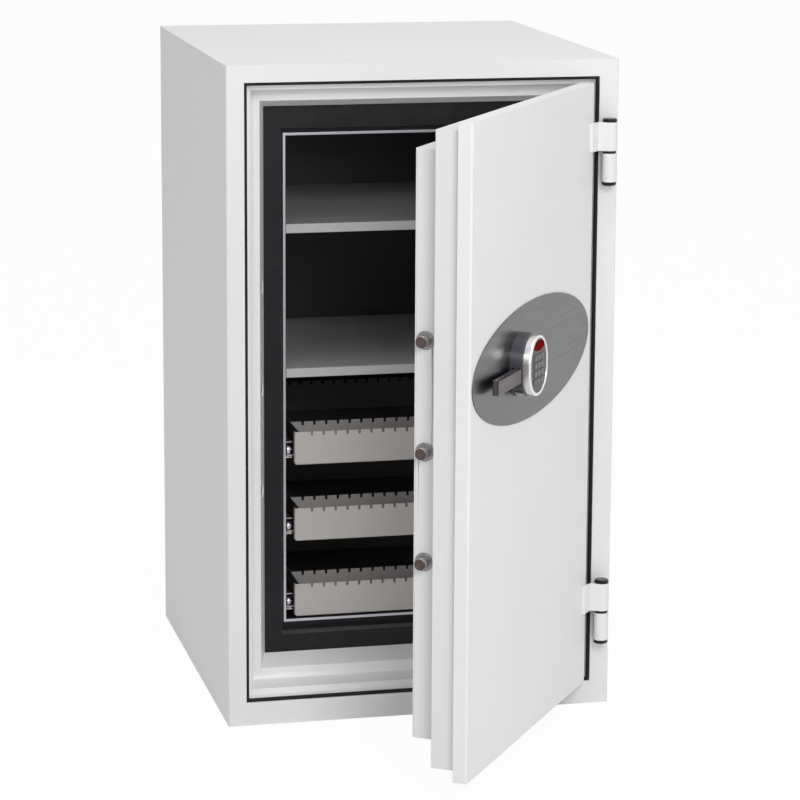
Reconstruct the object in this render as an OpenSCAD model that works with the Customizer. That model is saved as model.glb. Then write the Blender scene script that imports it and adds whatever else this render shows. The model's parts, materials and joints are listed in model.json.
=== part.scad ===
// Fire-resistant data safe with a stepped door, three round bolts, a code lock with a
// lever, two shelves and three media drawers. Millimetres. +Z is up and the front faces -Y.
// The origin is the middle of the cabinet's base. The door stands open, as it rests here.

/* [Cabinet] */
// Outside width of the cabinet
case_w = 700; // [660:5:760]
// Outside depth of the cabinet without the hinges
case_d = 730; // [690:5:800]
// Outside height of the cabinet
case_h = 1175; // [1120:5:1240]
// Thickness of the outer sheet steel
case_wall = 3; // [2:0.5:4]
// Radius of the cabinet's upright edges
case_round = 4; // [3:0.5:6]
// Front margin left of the door opening
margin_left = 32; // [28:1:40]
// Front margin on the hinge side of the door opening
margin_right = 35; // [32:1:42]
// Front margin above the door opening
margin_top = 30; // [26:1:40]
// Front margin below the door opening
margin_bottom = 42; // [36:1:55]
// Depth of the lip that is folded back round the opening
lip_d = 26; // [20:1:30]
// Thickness of the filling behind the inner box
rear_fill = 95; // [80:5:110]

/* [Door frame] */
// Width of the black strip round the opening
strip_w = 5.5; // [5:0.5:7.5]
// Depth of the black strip
strip_d = 7; // [5:0.5:8]
// How far the strip is set back from the front
strip_back = 2; // [1:0.5:3]
// Sheet thickness of the stepped frame
frame_t = 2.5; // [2:0.5:3]
// Clearance between a step of the door and the ledge of the frame behind it
ledge_gap = 3; // [2:0.5:4]
// How far the ledge behind the outer leaf reaches in from the opening
ledge_1_w = 16; // [14:0.5:17]
// How far the frame's second wall has drawn in where it meets its ledge
wall_2_w = 21; // [19:0.5:22]
// How far the ledge behind the second step reaches in from the opening
ledge_2_w = 40; // [34:1:42]
// How far the frame's third wall has drawn in at the black inner frame
wall_3_w = 55; // [52:1:57]

/* [Inner frame and inner box] */
// How far in from the opening the black frame's step lies, at its sides and its foot
black_step_w = 87; // [80:1:90]
// How far down from the opening's top the black frame's step lies
black_step_top = 94.5; // [88:0.5:98]
// Depth of the recess in the black frame
black_recess = 27; // [20:1:32]
// How far in from the opening's sides the black frame ends
black_in_side = 95; // [92:1:100]
// How far up from the opening's foot the black frame ends
black_in_low = 102; // [95:1:104]
// How far down from the opening's top the black frame ends
black_in_top = 106; // [102:1:110]
// Width of the metal trim round the inner box
trim_w = 5; // [4:0.5:7]
// Thickness of the trim and of the flange under it
trim_t = 3; // [2:0.5:4]
// Sheet thickness of the inner box
liner_t = 1.5; // [1:0.5:2.5]

/* [Door] */
// Angle at which the door stands open at rest
door_open = 55.5; // [40:0.5:70]
// Clearance between the outer leaf and the opening
leaf_gap = 9; // [8.5:0.5:10]
// Thickness of the outer leaf
leaf_t = 24.5; // [20:0.5:28]
// Thickness of the second step
step_2_t = 44; // [36:1:50]
// Thickness of the third step, which holds the bolts
step_3_t = 46.5; // [42:0.5:52]
// How far the second step is set in from the leaf
step_2_in = 15; // [13:0.5:18]
// How far the third step is set in from the second
step_3_in = 36; // [33:1:40]
// Sheet thickness of the door's casings
door_wall = 2; // [1.5:0.5:3]
// Radius of the leaf's upright front edges
leaf_round = 4; // [3:0.5:6]

/* [Hinges] */
// Distance of the hinge axis from the cabinet's right side
hinge_in = 22; // [18:0.5:26]
// Distance of the hinge axis in front of the cabinet
hinge_out = 22; // [18:0.5:26]
// Radius of the hinge knuckles
knuckle_r = 13; // [10:0.5:14]
// Height of one knuckle
knuckle_h = 50.5; // [40:0.5:60]
// Radius of the hinge pins
pin_r = 6; // [5:0.5:7]
// Running clearance of the pins and of the lever's spindle
pin_gap = 0.06; // [0.03:0.01:0.09]
// Clearance of the pins where they are pressed into the lower knuckles
pin_seat = 0.03; // [0.02:0.01:0.05]
// Thickness of the washer between the knuckles
washer_t = 4.5; // [2:0.5:6]
// Play between the washer and the upper knuckle
washer_gap = 0.2; // [0.1:0.05:0.3]
// Height of the caps on the hinges
hinge_cap_h = 6.5; // [4:0.5:8]
// Height of the lower hinge's washer above the base
hinge_low = 179; // [150:1:220]
// Distance of the upper hinge's washer from the top
hinge_high = 161; // [130:1:200]
// Thickness of the hinges' plates
hinge_plate_t = 4.5; // [3:0.5:6]
// Width of the hinge's plate on the door's face
hinge_plate_w = 22; // [14:1:30]

/* [Bolts] */
// Radius of the round bolts
bolt_r = 10; // [8:0.5:12]
// How far a thrown bolt stands out of the door
bolt_throw = 21; // [18:0.5:26]
// Length of a bolt inside the door when it is thrown
bolt_in = 62; // [50:1:75]
// Height of the middle bolt above the base
bolt_mid = 588.5; // [560:0.5:620]
// Distance between two bolts
bolt_pitch = 184.5; // [150:0.5:210]
// Distance of the bolts' middle line behind the door's face
bolt_deep = 96.5; // [92:0.5:97]
// Running clearance of a bolt in its collar
bolt_gap = 0.09; // [0.05:0.01:0.1]
// Radius of the collar's flange
collar_r = 15.5; // [14:0.5:16]
// Thickness of the collar's flange
collar_t = 2; // [1:0.5:3]
// Length of the collar's sleeve inside the door
collar_l = 24; // [16:1:30]
// Wall of the collar's sleeve
collar_wall = 2; // [1.5:0.5:3]
// Clearance of a bolt in its pocket in the frame
pocket_gap = 2.5; // [2:0.5:4]
// Width of the bar that carries the bolts
bolt_bar_w = 28; // [24:1:30]
// Thickness of the bar that carries the bolts
bolt_bar_t = 8; // [5:1:10]
// How far the bar runs on beyond the outer bolts
bolt_bar_end = 30; // [20:1:40]

/* [Lock] */
// Width of the oval plate on the door
plate_w = 592; // [500:2:600]
// Height of the oval plate
plate_h = 200; // [160:2:240]
// Thickness of the oval plate
plate_t = 2; // [1:0.5:3]
// Distance of the oval plate's middle from the leaf's middle, towards the free edge
plate_side = 6.5; // [0:0.5:8]
// Height of the oval plate's middle above the base
plate_z = 706; // [660:1:740]
// Width of the code lock
lock_w = 90; // [84:1:96]
// Height of the code lock
lock_h = 102; // [98:1:112]
// Distance of the lock's middle from the leaf's middle, towards the free edge
lock_side = 79; // [50:0.5:110]
// Height of the lock's middle above the base
lock_z = 709; // [690:1:740]
// Depth of the lock's dark housing
housing_d = 21.5; // [20:0.5:28]
// How far the housing stands out beyond the bezel all round
housing_more = 3; // [1:0.5:5]
// Thickness of the housing's back wall
housing_wall = 4; // [3:0.5:5]
// Thickness of the housing's front wall
housing_front = 3; // [2:0.5:4]
// Depth of the lock's silver bezel
bezel_d = 14; // [12:0.5:18]
// Width of the bezel's rim
bezel_rim = 5.5; // [5:0.5:7]
// How far the keypad's face is set back from the bezel's front
face_back_by = 1.5; // [1:0.5:4]
// Thickness of the keypad's face
face_t = 2; // [1.5:0.5:3]
// Width of the skirt behind the keypad's face
face_skirt = 2; // [1.5:0.5:3]
// Distance between two columns of buttons
key_pitch_x = 16; // [15.5:0.5:17]
// Distance between two rows of buttons
key_pitch_z = 13.4; // [12.6:0.2:13.6]
// Width of a button
key_w = 13; // [10:0.5:13]
// Height of a button
key_h = 10; // [8:0.5:10]
// How far the buttons stand out of the keypad
key_out = 1.5; // [1.2:0.1:2.5]
// Clearance round a button
key_gap = 0.3; // [0.2:0.05:0.4]
// How far a button can be pressed
key_travel = 1; // [0.5:0.1:1.2]
// Width of the flange that keeps a button behind the face
key_flange = 1; // [0.8:0.1:1]
// Thickness of that flange
key_flange_t = 1.2; // [1:0.1:2]
// Thickness of the circuit board behind the buttons
board_t = 1.6; // [1:0.2:2]
// Clearance between the circuit board and the skirt
board_gap = 0.1; // [0.1:0.05:0.3]
// Distance of the display from the top of the keypad's face
display_top = 3; // [2.5:0.5:4]
// Distance of the top row of buttons below the display
keys_low = 6; // [5:0.5:7]
// Width of the display
display_w = 50; // [36:1:50]
// Height of the display
display_h = 17; // [12:0.5:17]

/* [Lever] */
// Length of the lever from its pivot to its tip
lever_l = 158.5; // [140:0.5:175]
// Height of the lever's bar
lever_h = 24; // [20:0.5:28]
// Depth of the lever's bar behind its cap
lever_t = 9; // [7:0.5:12]
// Distance of the lever's pivot below the lock's middle
lever_drop = 10; // [6:0.5:14]
// Radius of the lever's hub
hub_r = 34; // [28:0.5:36]
// Clearance round the hub
hub_gap = 0.5; // [0.3:0.1:1]
// Thickness of the cap on the lever's face
lever_cap_t = 3; // [2:0.5:4]
// Radius of the spindle
spindle_r = 7; // [6:0.5:8]
// How far the lever draws the bolts back, which is also its crank's length
bolt_travel = 18; // [16:0.5:19]
// Clearance of the spindle in the door's skins
spindle_gap = 2; // [1:0.5:3]
// Thickness of the crank on the spindle
crank_t = 9; // [6:0.5:12]
// Radius of the crank's pin
crank_pin_r = 5; // [4:0.5:6]
// Thickness of the yoke that the crank's pin drives
yoke_t = 4; // [3:0.5:6]
// Clearance of the crank's pin in the yoke
yoke_gap = 0.3; // [0.2:0.05:0.5]
// Length of the electric lock inside the door
solenoid_l = 90; // [60:1:110]
// Height of the electric lock inside the door
solenoid_h = 65; // [40:1:80]
// Depth of the electric lock inside the door
solenoid_d = 26; // [18:1:34]
// Distance of the electric lock from the spindle
solenoid_side = 55; // [40:1:80]

/* [Shelves] */
// Height of the upper shelf's top above the base
shelf_high = 875; // [840:1:900]
// Height of the middle shelf's top above the base
shelf_low = 613; // [590:1:640]
// Height of a shelf's front lip
shelf_lip = 16.5; // [12:0.5:20]
// Sheet thickness of the shelves
shelf_t = 1.5; // [1:0.5:2.5]
// Clearance at each side of a shelf
shelf_gap = 1; // [0.5:0.5:2]

/* [Drawers] */
// Space beside a drawer's front for its runners
drawer_side = 16.5; // [15:0.5:20]
// Height of a drawer's front
drawer_h = 61; // [50:1:70]
// Space behind the drawers
drawer_rear = 47; // [30:1:80]
// Space under the lowest drawer
drawer_lift = 2.5; // [2:0.5:8]
// Distance between two drawers
drawer_pitch = 141.5; // [120:0.5:145]
// How far the tray is set in from the front's side edges
tray_in = 8; // [6:0.5:10]
// Sheet thickness of the drawers
drawer_t = 1.5; // [1:0.5:2]
// Outer radius of the bends in a drawer's front
front_bend = 3; // [2:0.5:4]
// Depth of the fold under a drawer's front
front_fold = 12; // [8:0.5:16]
// Depth of the folds at the ends of a drawer's front
front_return = 10; // [6:0.5:12]
// Distance between two slots
slot_pitch = 22; // [18:0.5:26]
// Width of a slot
slot_w = 4.5; // [3:0.5:6]
// Depth of a slot
slot_d = 7; // [5:0.5:12]
// How far the row of slots stands left of the drawer's middle
slot_shift = 3; // [0:0.5:5]
// Number of slots in a row
slot_count = 16; // [10:1:17]
// Distance of the slotted rail behind the front
comb_back = 85; // [60:1:140]
// Height of a runner's channel
channel_h = 30; // [24:1:34]
// Height of the runner above the drawer's bottom edge
channel_z = 14; // [8:1:18]
// Clearance between a channel and the drawer's tray
channel_gap = 12; // [8:0.5:14]
// Height of the flange that rides in the channel
runner_h = 20; // [16:1:24]
// Height of a tray's bottom above its front's bottom edge
tray_lift = 3; // [2:0.5:5]
// Seam between two sheets of a tray
tray_seam = 0.1; // [0.05:0.05:0.3]
// Running clearance in the runners
runner_gap = 0.3; // [0.2:0.05:0.5]

/* [Hidden] */
$fn = 48;

open_x0 = -case_w / 2 + margin_left;
open_x1 = case_w / 2 - margin_right;
open_z0 = margin_bottom;
open_z1 = case_h - margin_top;
open_w = open_x1 - open_x0;
open_h = open_z1 - open_z0;
frame_start = strip_back + strip_d;
ledge_1_y = leaf_t + ledge_gap;
step_2_y = leaf_t + step_2_t;
ledge_2_y = step_2_y + ledge_gap;
door_t = step_2_y + step_3_t;
black_y = door_t + ledge_gap;
recess_y = black_y + black_recess;
black_back = recess_y + trim_t + 2;
box_x0 = open_x0 + black_in_side + trim_w;
box_x1 = open_x1 - black_in_side - trim_w;
box_z0 = open_z0 + black_in_low + trim_w;
box_z1 = open_z1 - black_in_top - trim_w;
box_w = box_x1 - box_x0;
box_mid = (box_x0 + box_x1) / 2;
box_y0 = recess_y + trim_t;
box_y1 = case_d - rear_fill;
mitre_reach = wall_3_w + 20;
case_r = case_round;

hinge_x = case_w / 2 - hinge_in;
hinge_y = -hinge_out;
hinge_zs = [hinge_low, case_h - hinge_high];
leaf_x0 = open_x0 + leaf_gap;
leaf_x1 = open_x1 - leaf_gap;
leaf_z0 = open_z0 + leaf_gap;
leaf_z1 = open_z1 - leaf_gap;
leaf_mid = (leaf_x0 + leaf_x1) / 2;
casing_in = step_2_in + step_3_in;
casing_x0 = leaf_x0 + casing_in;
panel_t = door_wall;
bolt_zs = [bolt_mid - bolt_pitch, bolt_mid, bolt_mid + bolt_pitch];
bolt_y = bolt_deep;
bolt_l = bolt_throw + bolt_in;
pocket_r = bolt_r + pocket_gap;

lock_x = leaf_mid - lock_side;
lock_back = -plate_t;
housing_y = lock_back - housing_d;
housing_w = lock_w + 2 * housing_more;
housing_h = lock_h + 2 * housing_more;
bezel_y = housing_y - bezel_d;
face_w = lock_w - 2 * bezel_rim;
face_h = lock_h - 2 * bezel_rim;
face_y = bezel_y + face_back_by;
face_back = face_y + face_t;
board_y = face_back + key_gap + key_flange_t + key_travel + key_gap;
pivot_z = lock_z - lever_drop;
hub_y0 = lock_back - housing_wall - hub_gap;
hub_y1 = housing_y + housing_front + hub_gap;
lever_root = housing_w / 2 + 1;
display_z = face_h / 2 - display_top - display_h / 2;
keys_z = display_z - display_h / 2 - keys_low - key_h / 2;
crank_y = step_2_y + 14;
yoke_y = crank_y + crank_t + 1.5;
crank_hub_r = spindle_r + 5;
crank_eye_r = crank_pin_r + 3;

drawer_w = box_w - 2 * drawer_side;
tray_x0 = box_mid - drawer_w / 2 + tray_in;
tray_x1 = box_mid + drawer_w / 2 - tray_in;
drawer_y = box_y0 + 2;
drawer_l = box_y1 - drawer_rear - drawer_y;
drawer_zs = [for (n = [2:-1:0]) box_z0 + drawer_lift + n * drawer_pitch];
channel_w = tray_x0 - box_x0 - channel_gap;
slots_mid = (slot_count - 1) / 2;

case_white = [0.90, 0.90, 0.89];
frame_white = [0.87, 0.87, 0.88];
near_black = [0.11, 0.11, 0.12];
liner_dark = [0.16, 0.16, 0.18];
trim_metal = [0.66, 0.66, 0.68];
shelf_grey = [0.68, 0.68, 0.68];
drawer_beige = [0.66, 0.64, 0.62];
steel = [0.74, 0.74, 0.75];
plate_grey = [0.55, 0.55, 0.55];
lever_taupe = [0.55, 0.50, 0.49];
key_grey = [0.46, 0.47, 0.46];
display_red = [0.50, 0.07, 0.06];
filling_grey = [0.75, 0.73, 0.68];

// Moves what is drawn from the front plane to the part's own origin
module from_front() {
    translate([0, -case_d / 2, 0])
        children();
}

// Swings what is drawn on the shut door to where the door stands open
module on_door() {
    from_front()
        translate([hinge_x, hinge_y, 0])
            rotate([0, 0, door_open])
                translate([-hinge_x, -hinge_y, 0])
                    children();
}

// A box from one corner to the opposite one
module block(from, to) {
    translate(from)
        cube(to - from);
}

// A round bar along Y, from y0 to y1
module rod_y(x, z, r, y0, y1) {
    translate([x, y0, z])
        rotate([-90, 0, 0])
            cylinder(r = r, h = y1 - y0);
}

// A round bar along X, from x0 to x1
module rod_x(x0, x1, y, z, r) {
    translate([x0, y, z])
        rotate([0, 90, 0])
            cylinder(r = r, h = x1 - x0);
}

// A profile of [depth, inset] points drawn along the lower edge and mitred at both ends
module mitred_bar(profile, length) {
    deep = box_y1;
    intersection() {
        rotate([90, 0, 90])
            linear_extrude(length)
                polygon(profile);
        translate([0, deep, 0])
            rotate([90, 0, 0])
                linear_extrude(deep)
                    polygon([
                        [0, 0],
                        [length, 0],
                        [length - mitre_reach, mitre_reach],
                        [mitre_reach, mitre_reach]
                    ]);
    }
}

// The same profile round all four sides of the door opening
module round_opening(profile) {
    translate([open_x0, 0, open_z0]) {
        mitred_bar(profile, open_w);
        translate([0, 0, open_h])
            mirror([0, 0, 1])
                mitred_bar(profile, open_w);
        mirror([1, 0, -1])
            mitred_bar(profile, open_h);
        translate([open_w, 0, 0])
            mirror([1, 0, 0])
                mirror([1, 0, -1])
                    mitred_bar(profile, open_h);
    }
}

// A rectangle with round corners
module soft_rectangle(w, h, r) {
    translate([r, 0])
        square([w - 2 * r, h]);
    translate([0, r])
        square([w, h - 2 * r]);
    for (x = [r, w - r], y = [r, h - r])
        translate([x, y])
            circle(r);
}

// An upright oval with round ends, w wide and h high, about the origin
module oval(w, h) {
    translate([-w / 2, -(h - w) / 2])
        square([w, h - w]);
    for (side = [-1, 1])
        translate([0, side * (h - w) / 2])
            circle(w / 2);
}

// Stands a flat shape up at depth y1 and thickens it forward to y0
module upright(y0, y1) {
    translate([0, y1, 0])
        rotate([90, 0, 0])
            linear_extrude(y1 - y0)
                children();
}

module outer_case() {
    color(case_white)
        from_front() {
            difference() {
                translate([-case_w / 2, 0, 0])
                    linear_extrude(case_h)
                        soft_rectangle(case_w, case_d, case_r);
                block(
                    [-case_w / 2 + case_wall, case_wall, case_wall],
                    [case_w / 2 - case_wall, case_d + 1, case_h - case_wall]
                );
                block([open_x0, -1, open_z0], [open_x1, case_wall + 1, open_z1]);
            }
            difference() {
                block(
                    [open_x0 - case_wall, case_wall, open_z0 - case_wall],
                    [open_x1 + case_wall, lip_d, open_z1 + case_wall]
                );
                block([open_x0, 0, open_z0], [open_x1, lip_d + 1, open_z1]);
            }
        }
}

module rear_cover() {
    color(case_white)
        from_front()
            block(
                [-case_w / 2 + case_wall, case_d - case_wall, case_wall],
                [case_w / 2 - case_wall, case_d, case_h - case_wall]
            );
}

module case_filling() {
    color(filling_grey)
        from_front()
            difference() {
                block(
                    [-case_w / 2 + case_wall, case_wall, case_wall],
                    [case_w / 2 - case_wall, case_d - case_wall, case_h - case_wall]
                );
                block(
                    [open_x0 - case_wall, 0, open_z0 - case_wall],
                    [open_x1 + case_wall, black_back, open_z1 + case_wall]
                );
                block(
                    [box_x0 - liner_t, 0, box_z0 - liner_t],
                    [box_x1 + liner_t, box_y1 + liner_t, box_z1 + liner_t]
                );
            }
}

module edge_strip() {
    color(near_black)
        from_front()
            round_opening([
                [strip_back + 1, 0],
                [strip_back, 1.5],
                [strip_back, strip_w - 1.5],
                [strip_back + 1.5, strip_w],
                [frame_start, strip_w],
                [frame_start, 0]
            ]);
}

module stepped_frame() {
    face = [
        [frame_start, 0],
        [frame_start, strip_w],
        [ledge_1_y - 1.5, strip_w],
        [ledge_1_y, ledge_1_w],
        [ledge_2_y - 4, wall_2_w],
        [ledge_2_y, wall_2_w + 8],
        [ledge_2_y, ledge_2_w],
        [black_y, wall_3_w]
    ];
    behind = [
        for (n = [len(face) - 1:-1:0])
            [min(face[n].x + frame_t, black_y), max(face[n].y - frame_t, 0)]
    ];
    color(frame_white)
        from_front()
            difference() {
                round_opening(concat(face, behind));
                for (z = bolt_zs)
                    rod_x(open_x0, casing_x0, bolt_y, z, pocket_r);
            }
}

// Fills the door opening from y0 to y1, less a rim at its sides, its foot and its top
module opening_block(sides, low, top, y0, y1) {
    block([open_x0 + sides, y0, open_z0 + low], [open_x1 - sides, y1, open_z1 - top]);
}

module black_inner_frame() {
    outer_w = wall_3_w - frame_t - 2;
    color(near_black)
        from_front()
            difference() {
                opening_block(outer_w, outer_w, outer_w, black_y, black_back);
                opening_block(black_step_w, black_step_w, black_step_top, black_y - 1, recess_y);
                opening_block(black_in_side, black_in_low, black_in_top, recess_y - 1, black_back + 1);
            }
}

module inner_box() {
    color(liner_dark)
        from_front()
            difference() {
                union() {
                    block(
                        [box_x0 - liner_t, box_y0, box_z0 - liner_t],
                        [box_x1 + liner_t, box_y1 + liner_t, box_z1 + liner_t]
                    );
                    opening_block(black_in_side, black_in_low, black_in_top, box_y0, box_y0 + liner_t);
                }
                block([box_x0, box_y0 - 1, box_z0], [box_x1, box_y1, box_z1]);
            }
}

module box_trim() {
    color(trim_metal)
        from_front()
            difference() {
                opening_block(black_in_side, black_in_low, black_in_top, recess_y, box_y0);
                block([box_x0, recess_y - 1, box_z0], [box_x1, box_y0 + 1, box_z1]);
            }
}

// A sheet shelf whose four edges are folded down
module shelf(top) {
    back = box_y1 - 4;
    front = box_y0 + 1;
    x0 = box_x0 + shelf_gap;
    x1 = box_x1 - shelf_gap;
    color(shelf_grey)
        from_front()
            difference() {
                block([x0, front, top - shelf_lip], [x1, back, top]);
                block(
                    [x0 + shelf_t, front + shelf_t, top - shelf_lip - 1],
                    [x1 - shelf_t, back - shelf_t, top - shelf_t]
                );
            }
}

module shelves() {
    shelf(shelf_high);
    shelf(shelf_low);
}

module shelf_clips() {
    arm = 12;
    clip_h = 14;
    clip_w = 16;
    ends = [box_y0 + 60, box_y1 - 80];
    color(steel)
        from_front()
            for (top = [shelf_high, shelf_low], y = ends, side = [0, 1]) {
                z = top - shelf_lip;
                wall_x = side == 0 ? box_x0 : box_x1 - shelf_t;
                arm_x = side == 0 ? box_x0 : box_x1 - arm;
                block([wall_x, y, z - clip_h], [wall_x + shelf_t, y + clip_w, z]);
                block([arm_x, y, z - shelf_t], [arm_x + arm, y + clip_w, z]);
            }
}

// One channel on the inner box's left wall, for the drawer whose bottom edge is at z
module left_channel(z) {
    low = z + channel_z;
    block([box_x0, drawer_y + 2, low], [box_x0 + drawer_t, drawer_y + drawer_l, low + channel_h]);
    for (flange = [low, low + channel_h - drawer_t])
        block(
            [box_x0, drawer_y + 2, flange],
            [box_x0 + channel_w, drawer_y + drawer_l, flange + drawer_t]
        );
}

// Mirrors what is drawn at the inner box's left wall to its right wall as well
module both_walls() {
    children();
    translate([2 * box_mid, 0, 0])
        mirror([1, 0, 0])
            children();
}

module drawer_channels() {
    color(steel)
        from_front()
            both_walls()
                for (z = drawer_zs)
                    left_channel(z);
}

// A knuckle with its bore, from z0 to z1
module knuckle(z0, z1, bore_r) {
    translate([hinge_x, hinge_y, z0])
        difference() {
            cylinder(r = knuckle_r, h = z1 - z0);
            translate([0, 0, -1])
                cylinder(r = bore_r, h = z1 - z0 + 2);
        }
}

module hinge_lower_knuckles() {
    color(case_white)
        from_front()
            for (z = hinge_zs) {
                z1 = z - washer_t / 2;
                z0 = z1 - knuckle_h;
                knuckle(z0, z1, pin_r + pin_seat);
                difference() {
                    block(
                        [hinge_x - hinge_plate_t, hinge_y, z0],
                        [hinge_x + knuckle_r, 0, z1]
                    );
                    translate([hinge_x, hinge_y, z0 - 1])
                        cylinder(r = knuckle_r - 1, h = knuckle_h + 2);
                }
            }
}

module hinge_pins() {
    color(steel)
        from_front()
            for (z = hinge_zs)
                translate([hinge_x, hinge_y, z - washer_t / 2 - knuckle_h])
                    cylinder(r = pin_r, h = 2 * knuckle_h + washer_t - 2);
}

module hinge_washers() {
    color(near_black)
        from_front()
            for (z = hinge_zs)
                translate([hinge_x, hinge_y, z - washer_t / 2])
                    difference() {
                        cylinder(r = knuckle_r - 1, h = washer_t);
                        translate([0, 0, -1])
                            cylinder(r = pin_r + pin_seat, h = washer_t + 2);
                    }
}

module hinge_bottom_caps() {
    color(near_black)
        from_front()
            for (z = hinge_zs)
                translate([hinge_x, hinge_y, z - washer_t / 2 - knuckle_h - hinge_cap_h]) {
                    cylinder(r1 = knuckle_r - 2, r2 = knuckle_r, h = 2);
                    translate([0, 0, 2])
                        cylinder(r = knuckle_r, h = hinge_cap_h - 2);
                }
}

module hinge_upper_knuckles() {
    reach = leaf_x1 - hinge_plate_w;
    color(case_white)
        on_door()
            for (z = hinge_zs) {
                z0 = z + washer_t / 2 + washer_gap;
                z1 = z0 + knuckle_h;
                knuckle(z0, z1, pin_r + pin_gap);
                difference() {
                    translate([0, 0, z0])
                        linear_extrude(knuckle_h)
                            polygon([
                                [reach, 0],
                                [reach + 3, -hinge_plate_t],
                                [hinge_x - knuckle_r * 1.2, -hinge_plate_t - 2],
                                [hinge_x - knuckle_r, hinge_y],
                                [hinge_x, hinge_y],
                                [hinge_x, hinge_y + knuckle_r],
                                [leaf_x1 - 1, 0]
                            ]);
                    translate([hinge_x, hinge_y, z0 - 1])
                        cylinder(r = knuckle_r - 1, h = knuckle_h + 2);
                }
            }
}

module hinge_top_caps() {
    color(near_black)
        on_door()
            for (z = hinge_zs)
                translate([hinge_x, hinge_y, z + washer_t / 2 + washer_gap + knuckle_h]) {
                    cylinder(r = knuckle_r, h = hinge_cap_h - 2);
                    translate([0, 0, hinge_cap_h - 2])
                        cylinder(r1 = knuckle_r, r2 = knuckle_r - 2, h = 2);
                }
}

// The hole for the spindle, through whatever lies between two depths
module spindle_hole(y0, y1) {
    rod_y(lock_x, pivot_z, spindle_r + spindle_gap, y0, y1);
}

// The outline of one of the door's steps, set in by the given distance
module step_block(inset, y0, y1) {
    block(
        [leaf_x0 + inset, y0, leaf_z0 + inset],
        [leaf_x1 - inset, y1, leaf_z1 - inset]
    );
}

module door_leaf() {
    color(case_white)
        on_door()
            difference() {
                translate([0, 0, leaf_z0])
                    linear_extrude(leaf_z1 - leaf_z0)
                        leaf_profile();
                step_block(door_wall, door_wall, leaf_t + 1);
                spindle_hole(-1, door_wall + 1);
            }
}

// The leaf seen from above, with its two front edges rounded
module leaf_profile() {
    translate([leaf_x0 + leaf_round, 0])
        square([leaf_x1 - leaf_x0 - 2 * leaf_round, leaf_t]);
    translate([leaf_x0, leaf_round])
        square([leaf_x1 - leaf_x0, leaf_t - leaf_round]);
    for (x = [leaf_x0 + leaf_round, leaf_x1 - leaf_round])
        translate([x, leaf_round])
            circle(leaf_round);
}

module door_second_step() {
    color(case_white)
        on_door() {
            difference() {
                step_block(door_wall, leaf_t - door_wall, leaf_t);
                step_block(step_2_in + door_wall, 0, leaf_t + 1);
            }
            difference() {
                step_block(step_2_in, leaf_t, step_2_y);
                step_block(step_2_in + door_wall, leaf_t - 1, step_2_y - door_wall);
                spindle_hole(leaf_t, step_2_y + 1);
            }
        }
}

module door_bolt_casing() {
    color(case_white)
        on_door()
            difference() {
                step_block(casing_in, step_2_y, door_t - panel_t);
                step_block(casing_in + door_wall, step_2_y - 1, door_t);
                for (z = bolt_zs)
                    rod_x(casing_x0 - 1, casing_x0 + door_wall + 1, bolt_y, z, bolt_r + collar_wall);
            }
}

module door_back_panel() {
    color(frame_white)
        on_door()
            step_block(casing_in, door_t - panel_t, door_t);
}

module door_filling() {
    color(filling_grey)
        on_door()
            difference() {
                union() {
                    step_block(door_wall, door_wall, leaf_t - door_wall);
                    step_block(step_2_in + door_wall, leaf_t - door_wall, step_2_y - door_wall);
                }
                spindle_hole(0, step_2_y);
            }
}

module lock_plate() {
    steps = 96;
    color(plate_grey)
        on_door()
            difference() {
                translate([leaf_mid - plate_side, 0, plate_z])
                    upright(-plate_t, 0)
                        polygon([
                            for (n = [0:steps - 1])
                                let (a = 360 * n / steps)
                                    [plate_w / 2 * cos(a), plate_h / 2 * sin(a)]
                        ]);
                spindle_hole(-plate_t - 1, 1);
            }
}

// Draws round the lock's middle, with X and Z counted from there
module at_lock() {
    translate([lock_x, 0, lock_z])
        children();
}

module lock_housing() {
    slot_front = housing_y + housing_front;
    slot_back = lock_back - housing_wall;
    half = lever_h / 2 + hub_gap;
    color(near_black)
        on_door()
            difference() {
                at_lock() {
                    upright(housing_y + housing_front, lock_back)
                        oval(housing_w, housing_h);
                    upright(housing_y, housing_y + housing_front)
                        oval(housing_w - 2, housing_h - 2);
                }
                rod_y(lock_x, pivot_z, hub_r + hub_gap, slot_front, slot_back);
                block(
                    [lock_x - housing_w, slot_front, pivot_z - housing_h],
                    [lock_x + half, slot_back, pivot_z + half]
                );
                rod_y(lock_x, pivot_z, spindle_r + pin_gap, slot_back - 1, 1);
            }
}

// One half turn of the bezel's rim and one straight side, drawn for both ends
module rim(profile) {
    straight = lock_h - lock_w;
    for (side = [0, 180])
        rotate([0, 0, side]) {
            translate([0, straight / 2, 0])
                rotate_extrude(angle = 180)
                    polygon(profile);
            translate([0, straight / 2, 0])
                rotate([90, 0, 0])
                    linear_extrude(straight)
                        polygon(profile);
        }
}

module lock_bezel() {
    r = lock_w / 2;
    color(steel)
        on_door()
            translate([lock_x, housing_y, lock_z])
                rotate([90, 0, 0])
                    rim([
                        [r - bezel_rim, 0],
                        [r, 0],
                        [r, bezel_d * 0.6],
                        [r - 0.7, bezel_d * 0.8],
                        [r - 2, bezel_d * 0.95],
                        [r - 3.2, bezel_d],
                        [r - bezel_rim + 1, bezel_d - 0.3],
                        [r - bezel_rim, bezel_d - 1]
                    ]);
}

// Where button n sits, from the lock's middle
function key_x(n) = (n % 3 - 1) * key_pitch_x;
function key_z(n) = keys_z - floor(n / 3) * key_pitch_z;

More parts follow.
